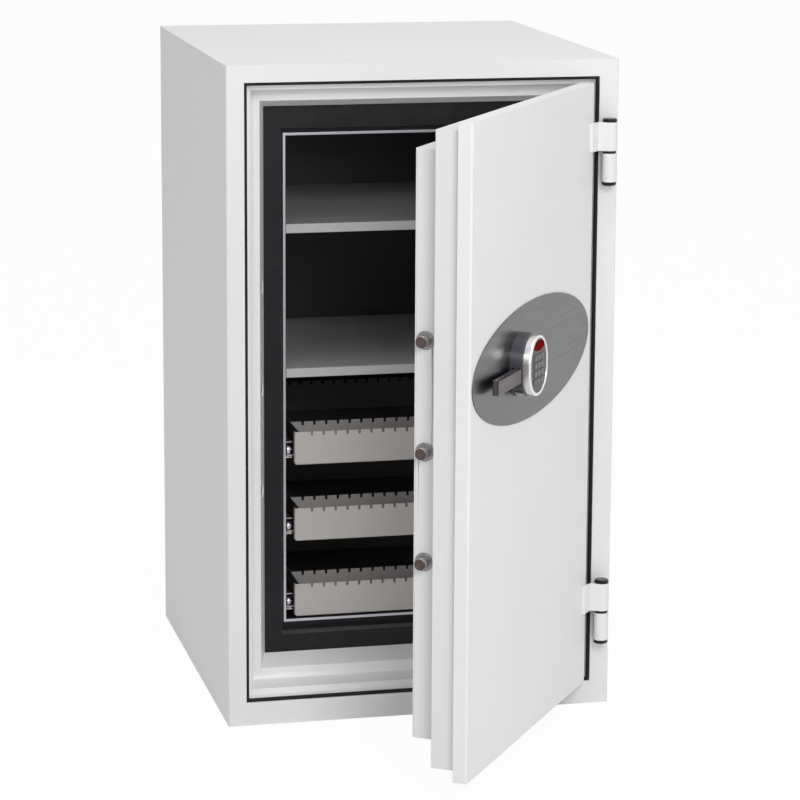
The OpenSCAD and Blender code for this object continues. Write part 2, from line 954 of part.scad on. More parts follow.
module keypad_face() {
    color(key_grey)
        on_door()
            at_lock()
                difference() {
                    union() {
                        upright(face_y, face_back)
                            oval(face_w, face_h);
                        upright(face_back, housing_y)
                            difference() {
                                oval(face_w, face_h);
                                oval(face_w - 2 * face_skirt, face_h - 2 * face_skirt);
                            }
                    }
                    for (n = [0:11])
                        translate([
                            key_x(n) - key_w / 2 - key_gap,
                            0,
                            key_z(n) - key_h / 2 - key_gap
                        ])
                            upright(face_y - 1, face_back + 1)
                                soft_rectangle(key_w + 2 * key_gap, key_h + 2 * key_gap, 2);
                }
}

module keypad_board() {
    inset = 2 * (face_skirt + board_gap);
    color(near_black)
        on_door()
            at_lock()
                upright(board_y, board_y + board_t)
                    oval(face_w - inset, face_h - inset);
}

// The display's window is a flat ellipse on the keypad's face
module display_window() {
    steps = 60;
    color(display_red)
        on_door()
            at_lock()
                translate([0, 0, display_z])
                    upright(face_y - 1, face_y)
                        polygon([
                            for (n = [0:steps - 1])
                                let (a = 360 * n / steps)
                                    [display_w / 2 * cos(a), display_h / 2 * sin(a)]
                        ]);
}

module button(n) {
    flange_y = face_back + key_gap;
    flange_w = key_w + 2 * key_flange;
    flange_h = key_h + 2 * key_flange;
    color(key_grey)
        on_door()
            at_lock()
                translate([key_x(n), 0, key_z(n)]) {
                    translate([-key_w / 2, 0, -key_h / 2])
                        upright(face_y - key_out, flange_y)
                            soft_rectangle(key_w, key_h, 1.8);
                    translate([-flange_w / 2, 0, -flange_h / 2])
                        upright(flange_y, flange_y + key_flange_t)
                            soft_rectangle(flange_w, flange_h, 2);
                }
}

module lock_body() {
    x0 = lock_x + solenoid_side;
    z1 = lock_z + 20;
    color(steel)
        on_door()
            block(
                [x0, step_2_y, z1 - solenoid_h],
                [x0 + solenoid_l, step_2_y + solenoid_d, z1]
            );
}

module bolt_collars() {
    color(near_black)
        on_door()
            for (z = bolt_zs)
                difference() {
                    union() {
                        rod_x(casing_x0 - collar_t, casing_x0, bolt_y, z, collar_r);
                        rod_x(casing_x0, casing_x0 + collar_l, bolt_y, z, bolt_r + collar_wall);
                    }
                    rod_x(casing_x0 - 5, casing_x0 + collar_l + 1, bolt_y, z, bolt_r + bolt_gap);
                }
}

module bolts() {
    chamfer = 1.5;
    tip_x = casing_x0 - bolt_throw;
    color(steel)
        on_door()
            for (z = bolt_zs) {
                rod_x(tip_x + chamfer, tip_x + bolt_l, bolt_y, z, bolt_r);
                translate([tip_x, bolt_y, z])
                    rotate([0, 90, 0])
                        cylinder(r1 = bolt_r - chamfer, r2 = bolt_r, h = chamfer);
            }
}

module bolt_bar() {
    x = casing_x0 - bolt_throw + bolt_l;
    color(steel)
        on_door()
            block(
                [x, bolt_y - bolt_bar_w / 2, bolt_zs[0] - bolt_bar_end],
                [x + bolt_bar_t, bolt_y + bolt_bar_w / 2, bolt_zs[2] + bolt_bar_end]
            );
}

// The yoke's window is wider than the crank's pin, because the pin swings on a circle
// while the bolts slide at an even rate
module bolt_yoke() {
    bar_x = casing_x0 - bolt_throw + bolt_l;
    pin_x = lock_x - bolt_travel;
    slack = 0.22 * bolt_travel;
    reach_r = crank_pin_r + yoke_gap;
    window = [pin_x - reach_r - slack, pin_x + reach_r];
    rim = 12;
    color(steel)
        on_door()
            difference() {
                block(
                    [bar_x + bolt_bar_t, yoke_y, pivot_z - bolt_travel - reach_r - rim],
                    [window[1] + rim, yoke_y + yoke_t, pivot_z + reach_r + rim]
                );
                block(
                    [window[0], yoke_y - 1, pivot_z - bolt_travel - reach_r],
                    [window[1], yoke_y + yoke_t + 1, pivot_z + reach_r]
                );
            }
}

module lever_arm() {
    color(near_black)
        on_door() {
            rod_y(lock_x, pivot_z, hub_r, hub_y1, hub_y0);
            translate([0, 0, pivot_z - lever_h / 2])
                linear_extrude(lever_h)
                    lever_outline();
        }
}

// The lever seen from above, with its tip rounded at the back
module lever_outline() {
    tip = lock_x - lever_l;
    r = lever_t * 0.45;
    back = hub_y1 + lever_t;
    translate([tip + r, hub_y1])
        square([lever_l - r - hub_r / 2, lever_t]);
    translate([tip, hub_y1])
        square([r, lever_t - r]);
    translate([tip + r, back - r])
        circle(r);
}

module lever_cap() {
    color(lever_taupe)
        on_door()
            block(
                [lock_x - lever_l, hub_y1 - lever_cap_t, pivot_z - lever_h / 2],
                [lock_x - lever_root, hub_y1, pivot_z + lever_h / 2]
            );
}

module lever_spindle() {
    pin_x = lock_x - bolt_travel;
    crank_back = crank_y + crank_t;
    color(steel)
        on_door() {
            rod_y(lock_x, pivot_z, spindle_r, hub_y0, crank_back);
            rod_y(lock_x, pivot_z, crank_hub_r, crank_y, crank_back);
            rod_y(pin_x, pivot_z, crank_eye_r, crank_y, crank_back);
            block(
                [pin_x, crank_y, pivot_z - spindle_r],
                [lock_x, crank_back, pivot_z + spindle_r]
            );
            rod_y(pin_x, pivot_z, crank_pin_r, crank_y, yoke_y + yoke_t + 1);
        }
}

// The row of slots along the top edge of an upright sheet
module slots(y0, y1, top) {
    for (n = [0:slot_count - 1]) {
        x = box_mid - slot_shift + (n - slots_mid) * slot_pitch;
        block([x - slot_w / 2, y0, top - slot_d], [x + slot_w / 2, y1, top + 1]);
    }
}

// The section of folded sheet, a long and b high, with its bent corner at the origin
module fold(a, b) {
    intersection() {
        square(front_bend);
        translate([front_bend, front_bend])
            difference() {
                circle(front_bend);
                circle(front_bend - drawer_t);
            }
    }
    translate([front_bend, 0])
        square([a - front_bend, drawer_t]);
    translate([0, front_bend])
        square([drawer_t, b - front_bend]);
}

// A drawer's front, folded back along its bottom edge and at both ends
module drawer_front(z) {
    x0 = box_mid - drawer_w / 2;
    color(drawer_beige)
        from_front() {
            difference() {
                translate([x0 + front_bend, drawer_y, z])
                    rotate([90, 0, 90])
                        linear_extrude(drawer_w - 2 * front_bend)
                            fold(front_fold, drawer_h);
                slots(drawer_y - 1, drawer_y + drawer_t + 1, z + drawer_h);
            }
            both_walls()
                translate([x0, drawer_y, z + front_bend])
                    linear_extrude(drawer_h - front_bend)
                        fold(front_bend + 1, front_return);
        }
}

module drawer_comb(z) {
    y = drawer_y + comb_back;
    low = z + tray_lift + drawer_t;
    color(drawer_beige)
        from_front()
            difference() {
                block(
                    [tray_x0 + drawer_t, y, low],
                    [tray_x1 - drawer_t, y + drawer_t, z + drawer_h]
                );
                slots(y - 1, y + drawer_t + 1, z + drawer_h);
            }
}

// Angles on a drawer's walls, whose flanges ride in the channels
module drawer_runners(z) {
    y0 = drawer_y + front_return + 2;
    y1 = drawer_y + drawer_l - 8;
    low = z + channel_z + drawer_t + runner_gap;
    color(steel)
        from_front()
            both_walls() {
                block([tray_x0 - drawer_t, y0, low], [tray_x0, y1, low + runner_h]);
                block([box_x0 + drawer_t + 2, y0, low], [tray_x0, y1, low + drawer_t]);
            }
}

// A drawer's tray: two side sheets, and the floor and the slotted back between them
module drawer_tray(z) {
    low = z + tray_lift;
    high = z + drawer_h;
    x0 = tray_x0 + drawer_t + tray_seam;
    x1 = tray_x1 - drawer_t - tray_seam;
    y0 = drawer_y + drawer_t;
    y1 = drawer_y + drawer_l;
    back_y = y1 - drawer_t;
    color(drawer_beige)
        from_front() {
            both_walls()
                block([tray_x0, y0, low], [tray_x0 + drawer_t, y1, high]);
            block([x0, y0, low], [x1, back_y - tray_seam, low + drawer_t]);
            difference() {
                block([x0, back_y, low], [x1, y1, high]);
                slots(back_y - 1, y1 + 1, high);
            }
        }
}

outer_case();
rear_cover();
case_filling();
edge_strip();
stepped_frame();
black_inner_frame();
inner_box();
box_trim();
shelves();
shelf_clips();
drawer_channels();
hinge_lower_knuckles();
hinge_pins();
hinge_washers();
hinge_bottom_caps();
door_leaf();
door_second_step();
door_bolt_casing();
door_back_panel();
door_filling();
hinge_upper_knuckles();
hinge_top_caps();
lock_plate();
lock_housing();
lock_bezel();
keypad_face();
keypad_board();
display_window();
lock_body();
bolt_collars();
lever_arm();
lever_cap();
lever_spindle();
bolts();
bolt_bar();
bolt_yoke();
for (n = [1:3])
    drawer_tray(drawer_zs[n - 1]);
for (n = [1:3])
    drawer_front(drawer_zs[n - 1]);
for (n = [1:3])
    drawer_comb(drawer_zs[n - 1]);
for (n = [1:3])
    drawer_runners(drawer_zs[n - 1]);
for (n = [1:12])
    button(n - 1);
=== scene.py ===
import json
import math
import bmesh
import bpy
from mathutils import Matrix, Vector


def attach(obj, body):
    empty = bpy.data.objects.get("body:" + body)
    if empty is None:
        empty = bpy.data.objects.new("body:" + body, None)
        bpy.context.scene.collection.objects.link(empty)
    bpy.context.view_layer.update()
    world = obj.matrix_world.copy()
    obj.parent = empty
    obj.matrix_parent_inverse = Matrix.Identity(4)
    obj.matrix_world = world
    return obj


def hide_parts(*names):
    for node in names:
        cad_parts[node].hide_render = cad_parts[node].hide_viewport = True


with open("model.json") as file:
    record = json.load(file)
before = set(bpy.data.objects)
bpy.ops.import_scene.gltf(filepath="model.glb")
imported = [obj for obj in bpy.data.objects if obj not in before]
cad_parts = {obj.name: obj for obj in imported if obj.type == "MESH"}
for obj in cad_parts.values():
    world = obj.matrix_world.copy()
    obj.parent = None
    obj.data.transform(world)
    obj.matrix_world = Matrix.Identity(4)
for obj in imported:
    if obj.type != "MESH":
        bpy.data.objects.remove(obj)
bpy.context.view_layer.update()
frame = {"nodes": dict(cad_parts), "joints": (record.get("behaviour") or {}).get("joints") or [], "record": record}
nodeObjects = frame["nodes"]
scene = bpy.context.scene
print("stage: frame loaded, " + str(len(nodeObjects)) + " nodes")


# Shared helpers for nodes and sockets

def addNode(tree, kind, **values):
    node = tree.nodes.new(kind)
    for name, value in values.items():
        setattr(node, name, value)
    return node


def link(tree, source, target):
    tree.links.new(source, target)


def newShaderGroup(name, inputs, outputs):
    tree = bpy.data.node_groups.new(name, "ShaderNodeTree")
    for label, kind, value in inputs:
        socket = tree.interface.new_socket(name=label, in_out="INPUT", socket_type=kind)
        if value is not None:
            socket.default_value = value
    for label, kind in outputs:
        tree.interface.new_socket(name=label, in_out="OUTPUT", socket_type=kind)
    return tree, addNode(tree, "NodeGroupInput"), addNode(tree, "NodeGroupOutput")


def noise(tree, vector, scale, detail, roughness=0.5):
    node = addNode(tree, "ShaderNodeTexNoise")
    node.inputs["Detail"].default_value = detail
    node.inputs["Roughness"].default_value = roughness
    link(tree, vector, node.inputs["Vector"])
    link(tree, scale, node.inputs["Scale"])
    return node.outputs["Fac"]


def mathNode(tree, operation, a, b=0.0):
    node = addNode(tree, "ShaderNodeMath", operation=operation)
    for index, value in enumerate((a, b)):
        if isinstance(value, (int, float)):
            node.inputs[index].default_value = value
        else:
            link(tree, value, node.inputs[index])
    return node.outputs[0]


# A share of the first value and the rest of the second
def weigh(tree, first, share, second):
    most = mathNode(tree, "MULTIPLY", first, share)
    rest = mathNode(tree, "MULTIPLY", second, 1.0 - share)
    return mathNode(tree, "ADD", most, rest)


# Orange peel and faint cloudiness of sprayed paint
def makePaintSkin():
    tree, start, end = newShaderGroup(
        "paintSkin",
        [
            ("Vector", "NodeSocketVector", None),
            ("Peel size", "NodeSocketFloat", 700.0),
            ("Cloud size", "NodeSocketFloat", 3.0),
            ("Speck size", "NodeSocketFloat", 90.0),
            ("Peel share", "NodeSocketFloat", 0.5),
        ],
        [("Height", "NodeSocketFloat"), ("Tone", "NodeSocketFloat"), ("Gloss", "NodeSocketFloat")],
    )
    vector = start.outputs["Vector"]
    peel = noise(tree, vector, scale=start.outputs["Peel size"], detail=2.0)
    cloud = noise(tree, vector, scale=start.outputs["Cloud size"], detail=3.0)
    specks = noise(tree, vector, scale=start.outputs["Speck size"], detail=4.0, roughness=0.7)
    height = mathNode(tree, "MULTIPLY", peel, start.outputs["Peel share"])
    link(tree, height, end.inputs["Height"])
    link(tree, weigh(tree, cloud, 0.75, specks), end.inputs["Tone"])
    link(tree, weigh(tree, specks, 0.5, cloud), end.inputs["Gloss"])
    return tree


# Long fine scratches of brushed metal, running along the vector's first axis
def makeBrushedGrain():
    tree, start, end = newShaderGroup(
        "brushedGrain",
        [
            ("Vector", "NodeSocketVector", None),
            ("Stretch", "NodeSocketFloat", 40.0),
            ("Fine size", "NodeSocketFloat", 1500.0),
            ("Broad size", "NodeSocketFloat", 160.0),
        ],
        [("Height", "NodeSocketFloat"), ("Tone", "NodeSocketFloat")],
    )
    parts = addNode(tree, "ShaderNodeSeparateXYZ")
    link(tree, start.outputs["Vector"], parts.inputs[0])
    join = addNode(tree, "ShaderNodeCombineXYZ")
    along = mathNode(tree, "DIVIDE", parts.outputs[0], start.outputs["Stretch"])
    link(tree, along, join.inputs[0])
    link(tree, parts.outputs[1], join.inputs[1])
    link(tree, parts.outputs[2], join.inputs[2])
    fine = noise(tree, join.outputs[0], scale=start.outputs["Fine size"], detail=3.0, roughness=0.6)
    broad = noise(tree, join.outputs[0], scale=start.outputs["Broad size"], detail=2.0)
    link(tree, fine, end.inputs["Height"])
    link(tree, weigh(tree, fine, 0.6, broad), end.inputs["Tone"])
    return tree


# Even fine grain of moulded plastic and rubber
def makeMouldedGrain():
    tree, start, end = newShaderGroup(
        "mouldedGrain",
        [
            ("Vector", "NodeSocketVector", None),
            ("Grain size", "NodeSocketFloat", 1200.0),
            ("Cloud size", "NodeSocketFloat", 25.0),
        ],
        [("Height", "NodeSocketFloat"), ("Tone", "NodeSocketFloat")],
    )
    cells = addNode(tree, "ShaderNodeTexVoronoi")
    link(tree, start.outputs["Vector"], cells.inputs["Vector"])
    link(tree, start.outputs["Grain size"], cells.inputs["Scale"])
    cloudSize = start.outputs["Cloud size"]
    soft = noise(tree, start.outputs["Vector"], scale=cloudSize, detail=4.0, roughness=0.6)
    link(tree, cells.outputs["Distance"], end.inputs["Height"])
    link(tree, soft, end.inputs["Tone"])
    return tree


paintSkin = makePaintSkin()
brushedGrain = makeBrushedGrain()
mouldedGrain = makeMouldedGrain()


def newMaterial(name):
    material = bpy.data.materials.new(name)
    material.use_nodes = True
    tree = material.node_tree
    surface = tree.nodes["Principled BSDF"]
    spot = addNode(tree, "ShaderNodeTexCoord")
    turn = addNode(tree, "ShaderNodeMapping")
    link(tree, spot.outputs["Object"], turn.inputs["Vector"])
    return material, tree, surface, turn


def useGroup(tree, group, vector, **values):
    node = addNode(tree, "ShaderNodeGroup")
    node.node_tree = group
    link(tree, vector, node.inputs["Vector"])
    for label, value in values.items():
        node.inputs[label.replace("_", " ")].default_value = value
    return node


def mixColour(tree, factor, first, second):
    node = addNode(tree, "ShaderNodeMix", data_type="RGBA")
    link(tree, factor, node.inputs["Factor"])
    node.inputs["A"].default_value = (*first, 1.0)
    node.inputs["B"].default_value = (*second, 1.0)
    return node.outputs["Result"]


# Noise stays mostly within this range, which is spread from low to high
noiseRange = (0.3, 0.7)


def between(tree, value, low=0.0, high=1.0):
    node = addNode(tree, "ShaderNodeMapRange")
    link(tree, value, node.inputs["Value"])
    node.inputs["From Min"].default_value = noiseRange[0]
    node.inputs["From Max"].default_value = noiseRange[1]
    node.inputs["To Min"].default_value = low
    node.inputs["To Max"].default_value = high
    return node.outputs["Result"]


def addBump(tree, surface, height, distance, strength=0.3):
    bump = addNode(tree, "ShaderNodeBump")
    bump.inputs["Distance"].default_value = distance
    bump.inputs["Strength"].default_value = strength
    link(tree, height, bump.inputs["Height"])
    link(tree, bump.outputs["Normal"], surface.inputs["Normal"])


def paint(name, light, dark, roughness, spread=0.05, peel=0.00006, coat=0.0):
    material, tree, surface, turn = newMaterial(name)
    skin = useGroup(tree, paintSkin, turn.outputs["Vector"])
    tone = between(tree, skin.outputs["Tone"])
    link(tree, mixColour(tree, tone, dark, light), surface.inputs["Base Color"])
    gloss = between(tree, skin.outputs["Gloss"], roughness - spread, roughness + spread)
    link(tree, gloss, surface.inputs["Roughness"])
    surface.inputs["Coat Weight"].default_value = coat
    surface.inputs["Coat Roughness"].default_value = 0.25
    addBump(tree, surface, skin.outputs["Height"], distance=peel, strength=0.35)
    return material


# The grain runs along X, or along the shut door's X where turnZ turns it with the door
def metal(name, light, dark, roughness, spread=0.06, turnZ=0.0, stretch=40.0, depth=0.00004):
    material, tree, surface, turn = newMaterial(name)
    turn.inputs["Rotation"].default_value = (0.0, 0.0, turnZ)
    grain = useGroup(tree, brushedGrain, turn.outputs["Vector"], Stretch=stretch)
    tone = between(tree, grain.outputs["Tone"])
    link(tree, mixColour(tree, tone, dark, light), surface.inputs["Base Color"])
    gloss = between(tree, grain.outputs["Tone"], roughness + spread, roughness - spread)
    link(tree, gloss, surface.inputs["Roughness"])
    surface.inputs["Metallic"].default_value = 1.0
    addBump(tree, surface, grain.outputs["Height"], distance=depth)
    return material


# Shine is the strength of its mirror light, bloom that of the haze seen at a slant
def moulded(
    name, light, dark, roughness,
    spread=0.06, grainSize=1200.0, depth=0.00008, shine=0.5, bloom=0.0,
):
    material, tree, surface, turn = newMaterial(name)
    surface.inputs["Specular IOR Level"].default_value = shine
    surface.inputs["Sheen Weight"].default_value = bloom
    surface.inputs["Sheen Roughness"].default_value = 0.35
    grain = useGroup(tree, mouldedGrain, turn.outputs["Vector"], Grain_size=grainSize)
    tone = between(tree, grain.outputs["Tone"])
    link(tree, mixColour(tree, tone, dark, light), surface.inputs["Base Color"])
    gloss = between(tree, grain.outputs["Tone"], roughness - spread, roughness + spread)
    link(tree, gloss, surface.inputs["Roughness"])
    addBump(tree, surface, grain.outputs["Height"], distance=depth)
    return material


def jointNamed(name):
    return next(joint for joint in frame["joints"] if joint["name"] == name)


# The door rests open: doorTurn is how far, and onDoor carries a shut door's point to where it rests
leverAxis = jointNamed("lever_turn")["axis"]
doorTurn = math.atan2(leverAxis[0], -leverAxis[1])
hingeSpot = Vector(jointNamed("door_hinge")["pos_m"])
onDoor = Matrix.Translation(hingeSpot) @ Matrix.Rotation(doorTurn, 4, "Z") @ Matrix.Translation(-hingeSpot)


def cornersOf(points):
    low = Vector([min(point[axis] for point in points) for axis in range(3)])
    high = Vector([max(point[axis] for point in points) for axis in range(3)])
    return low, high


# The lowest and highest corner of a node on the door, as if the door were shut
def doorBox(nodeName):
    shut = onDoor.inverted()
    return cornersOf([shut @ vertex.co for vertex in nodeObjects[nodeName].data.vertices])


# One finish for each material slot: name, light tone, dark tone and roughness
finishes = {
    "body_paint": paint("bodyPaint", (0.81, 0.81, 0.805), (0.76, 0.76, 0.755), 0.42),
    "frame_paint": paint("framePaint", (0.90, 0.90, 0.91), (0.86, 0.86, 0.87), 0.38),
    "dark_paint": paint("innerBoxPaint", (0.020, 0.020, 0.023), (0.012, 0.012, 0.014), 0.45),
    "shelf_paint": paint("shelfPaint", (0.58, 0.57, 0.58), (0.51, 0.50, 0.515), 0.35),
    "drawer_paint": paint("drawerPaint", (0.60, 0.57, 0.55), (0.535, 0.508, 0.488), 0.38),
    "black_plastic": moulded(
        "blackMoulding", (0.011, 0.011, 0.013), (0.006, 0.006, 0.008), 0.42, shine=0.22, bloom=0.6,
    ),
    "black_rubber": moulded(
        "sealRubber", (0.014, 0.014, 0.015), (0.008, 0.008, 0.009), 0.6, grainSize=2200.0, shine=0.2,
    ),
    "filling": moulded(
        "castFilling", (0.50, 0.46, 0.38), (0.40, 0.37, 0.31), 0.9, grainSize=300.0, depth=0.0006,
    ),
    "trim_metal": metal("trimMetal", (0.54, 0.55, 0.58), (0.45, 0.46, 0.49), 0.36),
    "bare_steel": metal("zincSteel", (0.62, 0.62, 0.63), (0.48, 0.48, 0.50), 0.34),
    "bolt_chrome": metal(
        "boltChrome", (0.60, 0.59, 0.60), (0.50, 0.49, 0.50), 0.20,
        turnZ=-doorTurn, stretch=1.0, depth=0.00001,
    ),
    "satin_plate": metal(
        "satinPlate", (0.150, 0.146, 0.146), (0.137, 0.133, 0.133), 0.30,
        turnZ=-doorTurn, stretch=60.0, depth=0.00001,
    ),
    "lock_dark": paint(
        "lockPaint", (0.060, 0.062, 0.082), (0.048, 0.050, 0.066), 0.25, peel=0.00003, coat=0.4,
    ),
    "bezel_silver": metal(
        "bezelSilver", (0.80, 0.79, 0.785), (0.78, 0.77, 0.765), 0.24,
        spread=0.01, turnZ=-doorTurn, stretch=1.0, depth=0.0,
    ),
    "lever_taupe": metal(
        "leverSatin", (0.13, 0.109, 0.103), (0.105, 0.088, 0.084), 0.32, turnZ=-doorTurn, stretch=50.0,
    ),
    "keypad_grey": moulded(
        "keypadFace", (0.115, 0.107, 0.107), (0.092, 0.086, 0.086), 0.45, grainSize=1800.0, shine=0.25,
    ),
    "button_grey": moulded(
        "buttonGrey", (0.15, 0.155, 0.15), (0.12, 0.125, 0.12), 0.5, grainSize=2000.0, shine=0.3,
    ),
    "display_red": moulded(
        "displayLens", (0.20, 0.010, 0.010), (0.15, 0.006, 0.007), 0.45,
        grainSize=600.0, depth=0.0, shine=0.0,
    ),
}
print("stage: " + str(len(finishes)) + " finishes made")

nodeSlot = {row["node"]: row["material_slot"] for row in frame["record"]["subparts"]}

# Nodes whose look differs from the rest of their slot
stepPaint = paint("stepPaint", (0.75, 0.75, 0.76), (0.71, 0.71, 0.72), 0.38)
# The trays take a dark grey instead of the drawers' beige: painted shade for the dark depth inside the drawers
trayPaintedShade = paint("trayPaintedShade", (0.20, 0.19, 0.185), (0.17, 0.162, 0.157), 0.42)
collarMetal = metal(
    "collarMetal", (0.26, 0.245, 0.25), (0.20, 0.19, 0.195), 0.24,
    turnZ=-doorTurn, stretch=1.0, depth=0.00001,
)
ownFinish = {
    "door_second_step": stepPaint,
    "door_bolt_casing": stepPaint,
    "door_back_panel": stepPaint,
    # Painted shade: the trays are dark grey, the drawers' fronts and combs keep the beige
    "drawer_1_tray": trayPaintedShade,
    "drawer_2_tray": trayPaintedShade,
    "drawer_3_tray": trayPaintedShade,
    "bolt_collars": collarMetal,
}


def finishOf(nodeName):
    return ownFinish.get(nodeName, finishes[nodeSlot[nodeName]])


nodeBody = {}
for bodyName, members in frame["record"]["behaviour"]["bodies"].items():
    for member in members:
        nodeBody[member] = bodyName
for nodeName, nodeObject in nodeObjects.items():
    nodeObject.data.materials.clear()
    nodeObject.data.materials.append(finishOf(nodeName))


# Meshes

def addPiece(name, mesh, material=None):
    piece = bpy.data.objects.new(name, mesh)
    scene.collection.objects.link(piece)
    if material is not None:
        mesh.materials.clear()
        mesh.materials.append(material)
    return piece


def applyModifiers(piece):
    graph = bpy.context.evaluated_depsgraph_get()
    finished = bpy.data.meshes.new_from_object(piece.evaluated_get(graph))
    piece.modifiers.clear()
    piece.data = finished
    return piece


# Corners nearer than this are one corner
mergeDistance = 0.000002

edgeRounding = {
    "segments": 3,
    "sharpFrom": 30.0,
}


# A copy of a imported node, merged to clean faces, with its sharp edges rounded
def softCopy(nodeName, edge):
    mesh = nodeObjects[nodeName].data.copy()
    work = bmesh.new()
    work.from_mesh(mesh)
    bmesh.ops.remove_doubles(work, verts=work.verts, dist=mergeDistance)
    for face in work.faces:
        face.smooth = True
    work.to_mesh(mesh)
    work.free()
    piece = addPiece(nodeName + "_soft", mesh, finishOf(nodeName))
    rounding = piece.modifiers.new("rounding", "BEVEL")
    rounding.width = edge
    rounding.segments = edgeRounding["segments"]
    rounding.limit_method = "ANGLE"
    rounding.angle_limit = math.radians(edgeRounding["sharpFrom"])
    rounding.use_clamp_overlap = True
    rounding.miter_outer = "MITER_ARC"
    flats = piece.modifiers.new("flats", "WEIGHTED_NORMAL")
    flats.mode = "FACE_AREA"
    flats.weight = 100
    flats.keep_sharp = True
    return applyModifiers(piece)


def place(piece, body, slot, *replaced):
    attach(piece, body)
    if replaced:
        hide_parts(*replaced)


# How far each node's edges are rounded
softEdges = {
    "outer_case": 0.0018,
    "rear_cover": 0.0006,
    "stepped_frame": 0.0010,
    "edge_strip": 0.0004,
    "black_inner_frame": 0.0016,
    "inner_box": 0.0005,
    "box_trim": 0.0006,
    "shelves": 0.0009,
    "shelf_clips": 0.0004,
    "drawer_channels": 0.0004,
    "hinge_lower_knuckles": 0.0007,
    "hinge_upper_knuckles": 0.0007,
    "hinge_bottom_caps": 0.0006,
    "hinge_top_caps": 0.0006,
    "hinge_washers": 0.0005,
    "hinge_pins": 0.0008,
    "door_leaf": 0.0012,
    "door_second_step": 0.0012,
    "door_bolt_casing": 0.0012,
    "door_back_panel": 0.0006,
    "lock_plate": 0.0011,
    "lock_housing": 0.0010,
    "keypad_face": 0.0003,
    "keypad_board": 0.0003,
    "lock_body": 0.0010,
    "bolt_collars": 0.0004,
    "lever_arm": 0.0012,
    "lever_cap": 0.0009,
    "lever_spindle": 0.0006,
    "bolts": 0.0008,
    "bolt_bar": 0.0008,
    "bolt_yoke": 0.0004,
}
for drawer in (1, 2, 3):
    softEdges["drawer_" + str(drawer) + "_tray"] = 0.0003
    softEdges["drawer_" + str(drawer) + "_front"] = 0.0004
    softEdges["drawer_" + str(drawer) + "_comb"] = 0.0004
    softEdges["drawer_" + str(drawer) + "_runners"] = 0.0003
for key in range(1, 13):
    softEdges["button_" + str(key)] = 0.0005

for nodeName, edge in softEdges.items():
    piece = softCopy(nodeName, edge)
    place(piece, nodeBody[nodeName], nodeSlot[nodeName], nodeName)
print("stage: edges rounded on " + str(len(softEdges)) + " nodes")


# Geometry Nodes helpers

def newGeometryTree(name, inputs):
    tree = bpy.data.node_groups.new(name, "GeometryNodeTree")
    tree.interface.new_socket(name="Geometry", in_out="OUTPUT", socket_type="NodeSocketGeometry")
    for label, kind in inputs:
        tree.interface.new_socket(name=label, in_out="INPUT", socket_type=kind)
    return tree, addNode(tree, "NodeGroupInput"), addNode(tree, "NodeGroupOutput")


# The end of every tree: real geometry with its material
def endTree(tree, start, end, geometry):
    realize = addNode(tree, "GeometryNodeRealizeInstances")
    finish = addNode(tree, "GeometryNodeSetMaterial")
    link(tree, geometry, realize.inputs["Geometry"])
    link(tree, realize.outputs["Geometry"], finish.inputs["Geometry"])
    link(tree, start.outputs["Material"], finish.inputs["Material"])
    link(tree, finish.outputs["Geometry"], end.inputs["Geometry"])


def runTree(name, tree, values):
    piece = addPiece(name, bpy.data.meshes.new(name))
    modifier = piece.modifiers.new("build", "NODES")
    modifier.node_group = tree
    for label, value in values.items():
        modifier[tree.interface.items_tree[label].identifier] = value
    piece.update_tag()
    return applyModifiers(piece)


# Sweeps a profile round an upright rounded rectangle. Profile points are [outward, backward].
def makeRimTree():
    tree, start, end = newGeometryTree("roundedRim", [
        ("Width", "NodeSocketFloat"),
        ("Height", "NodeSocketFloat"),
        ("Corner radius", "NodeSocketFloat"),
        ("Corner steps", "NodeSocketInt"),
        ("Centre", "NodeSocketVector"),
        ("Profile", "NodeSocketObject"),
        ("Material", "NodeSocketMaterial"),
    ])
    path = addNode(tree, "GeometryNodeCurvePrimitiveQuadrilateral")
    corners = addNode(tree, "GeometryNodeFilletCurve", mode="POLY")
    outward = addNode(tree, "GeometryNodeSetCurveNormal", mode="Z_UP")
    section = addNode(tree, "GeometryNodeObjectInfo")
    sweep = addNode(tree, "GeometryNodeCurveToMesh")
    stand = addNode(tree, "GeometryNodeTransform")
    stand.inputs["Rotation"].default_value = (math.pi / 2, 0.0, 0.0)
    link(tree, start.outputs["Width"], path.inputs["Width"])
    link(tree, start.outputs["Height"], path.inputs["Height"])
    link(tree, path.outputs["Curve"], corners.inputs["Curve"])
    link(tree, start.outputs["Corner radius"], corners.inputs["Radius"])
    link(tree, start.outputs["Corner steps"], corners.inputs["Count"])
    link(tree, corners.outputs["Curve"], outward.inputs["Curve"])
    link(tree, start.outputs["Profile"], section.inputs["Object"])
    link(tree, outward.outputs["Curve"], sweep.inputs["Curve"])
    link(tree, section.outputs["Geometry"], sweep.inputs["Profile Curve"])
    link(tree, sweep.outputs["Mesh"], stand.inputs["Geometry"])
    link(tree, start.outputs["Centre"], stand.inputs["Translation"])
    endTree(tree, start, end, stand.outputs["Geometry"])
    return tree


# 1 where a place lies clear of both ends of a length that is centred on the origin
def nearMiddle(tree, place, length):
    away = mathNode(tree, "ABSOLUTE", place)
    almostHalf = mathNode(tree, "MULTIPLY", length, 0.49)
    return mathNode(tree, "LESS_THAN", away, almostHalf)


